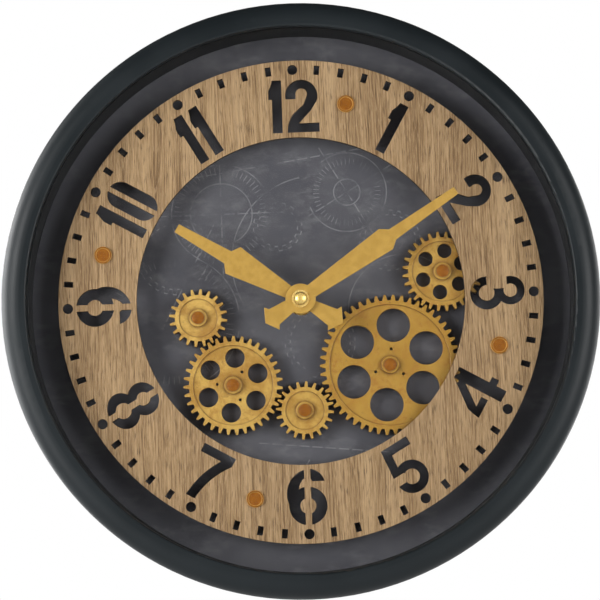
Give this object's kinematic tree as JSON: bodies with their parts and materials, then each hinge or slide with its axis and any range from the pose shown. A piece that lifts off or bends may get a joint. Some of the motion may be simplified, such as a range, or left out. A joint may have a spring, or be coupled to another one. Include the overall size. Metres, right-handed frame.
{
  "type": "wall clock",
  "caption": "Round wall clock with a deep black rim, a cut-out oak chapter ring, gold hands and a meshed train of decorative gears on a slate dial.",
  "frame": {"origin": "centre of the rear rim, on the wall plane", "axes": "+Z towards 12 o'clock, -Y out of the dial towards the viewer, +X to the viewer's right"},
  "size_m": [0.4, 0.07, 0.4],
  "materials": {
    "black_lacquer": "satin black lacquer over a turned rim",
    "black_card": "matt black",
    "front_glass": "clear polished",
    "fibreboard": "raw fibreboard",
    "dial_print": "matt slate-grey print",
    "oak": "oiled oak",
    "antique_gold": "gold with a brown wash",
    "hand_gold": "satin gold paint",
    "copper_cap": "orange copper paint",
    "brass": "polished",
    "post_gold": "satin",
    "zinc_steel": "zinc plated",
    "movement_black": "moulded black",
    "drive_black": "textured moulded black",
    "gasket_rubber": "matt",
    "wheel_white": "natural acetal",
    "coil_copper": "enamelled wire",
    "circuit_green": "solder mask",
    "cell_jacket": "printed steel jacket",
    "switch_white": "moulded",
    "lead_red": "insulation"
  },
  "bodies": {
    "case": {"frame_ring": "black_lacquer", "glass_spacer": "black_card", "glass_lens": "front_glass", "dial_board": "fibreboard", "dial_face": "dial_print", "chapter_ring": "oak", "chapter_caps": "copper_cap", "gear_post_caps": "copper_cap", "stem_nut": "brass", "stem_washer": "brass", "chapter_posts": "post_gold", "gear_posts": "post_gold", "retaining_tabs": "zinc_steel", "hanger_bracket": "zinc_steel", "tab_screws": "zinc_steel", "hanger_screws": "zinc_steel", "chapter_screws": "zinc_steel", "drive_case_screws": "zinc_steel", "gear_post_nuts": "zinc_steel", "time_contacts": "zinc_steel", "drive_contacts": "zinc_steel", "stator": "zinc_steel", "movement_front_case": "movement_black", "movement_rear_case": "movement_black", "switch_body": "movement_black", "drive_case": "drive_black", "drive_cover": "drive_black", "movement_gasket": "gasket_rubber", "drive_bush": "wheel_white", "gearmotor": "wheel_white", "coil": "coil_copper", "movement_circuit": "circuit_green", "time_cell": "cell_jacket", "drive_cells": "cell_jacket", "motor_leads": "lead_red"},
    "minute_body": {"minute_arbor": "brass", "minute_hand": "hand_gold", "hand_nut": "brass"},
    "hour_body": {"hour_wheel": "wheel_white", "hour_hand": "hand_gold"},
    "motion_body": {"motion_wheel": "wheel_white"},
    "knob_body": {"set_knob": "movement_black"},
    "intermediate_body": {"intermediate_wheel": "wheel_white"},
    "rotor_body": {"step_rotor": "wheel_white"},
    "large_gear_body": {"large_gear": "antique_gold"},
    "drive_gear_body": {"drive_gear": "antique_gold", "drive_shaft": "zinc_steel", "drive_gear_cap": "copper_cap"},
    "right_gear_body": {"right_gear": "antique_gold"},
    "medium_gear_body": {"medium_gear_left": "antique_gold"},
    "small_gear_body": {"small_gear_left": "antique_gold"},
    "door_body": {"battery_door": "drive_black"},
    "switch_body_slide": {"switch_slider": "switch_white"}
  },
  "joints": [
    {"name": "minute_spin", "type": "hinge", "parent": "case", "child": "minute_body", "pos_m": [0, 0, 0], "axis": [0, 1, 0], "continuous": true},
    {"name": "hour_spin", "type": "hinge", "parent": "case", "child": "hour_body", "pos_m": [0, 0, 0], "axis": [0, 1, 0], "continuous": true},
    {"name": "motion_spin", "type": "hinge", "parent": "case", "child": "motion_body", "pos_m": [0.00902, 0, 0.00328], "axis": [0, 1, 0], "continuous": true},
    {"name": "knob_spin", "type": "hinge", "parent": "case", "child": "knob_body", "pos_m": [0.0186, 0, 0.00389], "axis": [0, 1, 0], "continuous": true},
    {"name": "intermediate_spin", "type": "hinge", "parent": "case", "child": "intermediate_body", "pos_m": [-0.00764, 0, 0.00764], "axis": [0, 1, 0], "continuous": true},
    {"name": "rotor_spin", "type": "hinge", "parent": "case", "child": "rotor_body", "pos_m": [-0.00042, 0, 0.01485], "axis": [0, 1, 0], "continuous": true},
    {"name": "large_gear_spin", "type": "hinge", "parent": "case", "child": "large_gear_body", "pos_m": [0.05854, 0, -0.04543], "axis": [0, 1, 0], "continuous": true},
    {"name": "drive_gear_spin", "type": "hinge", "parent": "case", "child": "drive_gear_body", "pos_m": [0, 0, -0.07398], "axis": [0, 1, 0], "continuous": true},
    {"name": "right_gear_spin", "type": "hinge", "parent": "case", "child": "right_gear_body", "pos_m": [0.09633, 0, 0.01648], "axis": [0, 1, 0], "continuous": true},
    {"name": "medium_gear_spin", "type": "hinge", "parent": "case", "child": "medium_gear_body", "pos_m": [-0.04773, 0, -0.05528], "axis": [0, 1, 0], "continuous": true},
    {"name": "small_gear_spin", "type": "hinge", "parent": "case", "child": "small_gear_body", "pos_m": [-0.06971, 0, -0.00897], "axis": [0, 1, 0], "continuous": true},
    {"name": "door_slide", "type": "slide", "parent": "case", "child": "door_body", "axis": [0, 0, -1], "range_m": [0, 0.033]},
    {"name": "switch_slide", "type": "slide", "parent": "case", "child": "switch_body_slide", "axis": [1, 0, 0], "range_m": [0, 0.004]}
  ],
  "couplings": [
    {"joint": "hour_spin", "follows": "minute_spin", "ratio": 0.083333},
    {"joint": "motion_spin", "follows": "minute_spin", "ratio": -0.33333},
    {"joint": "knob_spin", "follows": "minute_spin", "ratio": 1},
    {"joint": "intermediate_spin", "follows": "minute_spin", "ratio": -8},
    {"joint": "rotor_spin", "follows": "minute_spin", "ratio": 60},
    {"joint": "drive_gear_spin", "follows": "large_gear_spin", "ratio": -2.5},
    {"joint": "right_gear_spin", "follows": "large_gear_spin", "ratio": -1.7857},
    {"joint": "medium_gear_spin", "follows": "large_gear_spin", "ratio": 1.4286},
    {"joint": "small_gear_spin", "follows": "large_gear_spin", "ratio": -2.5}
  ]
}
